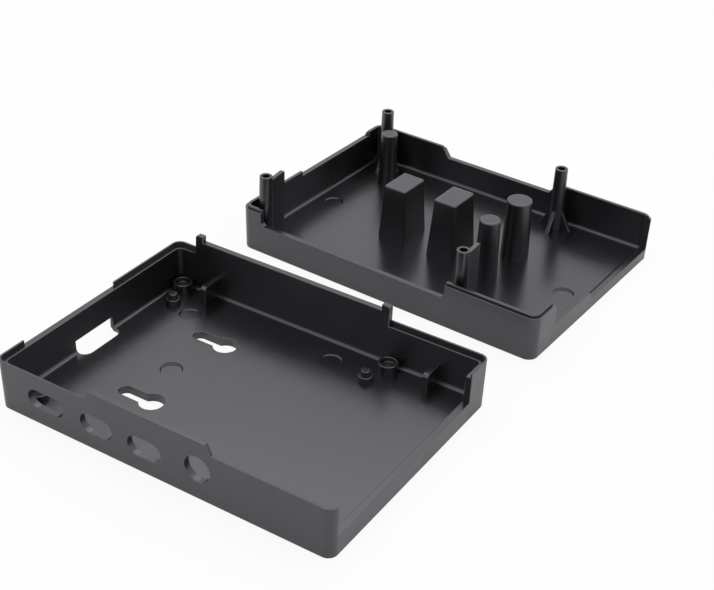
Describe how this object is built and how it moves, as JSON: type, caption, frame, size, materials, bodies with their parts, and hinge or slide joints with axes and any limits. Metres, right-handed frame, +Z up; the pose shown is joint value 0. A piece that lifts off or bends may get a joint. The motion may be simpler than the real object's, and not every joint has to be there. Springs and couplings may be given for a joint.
{
  "type": "cooling case",
  "caption": "Open two-piece cast aluminium case for a single-board computer: port-cut base tray and a lid whose pillars and posts carry the chips' heat.",
  "frame": {"origin": "middle of the pair's footprint, on the surface that both pieces lie on", "axes": "+X along the base shell's long side from the card end to the socket end, +Y from the base shell's port side to the lid behind it, +Z up"},
  "size_m": [0.096, 0.1566, 0.0214],
  "materials": {
    "base_casting": "satin black, finely textured",
    "lid_casting": "satin black, finely textured"
  },
  "bodies": {
    "root": {"base_shell": "base_casting", "heatsink_lid": "lid_casting"}
  },
  "joints": []
}
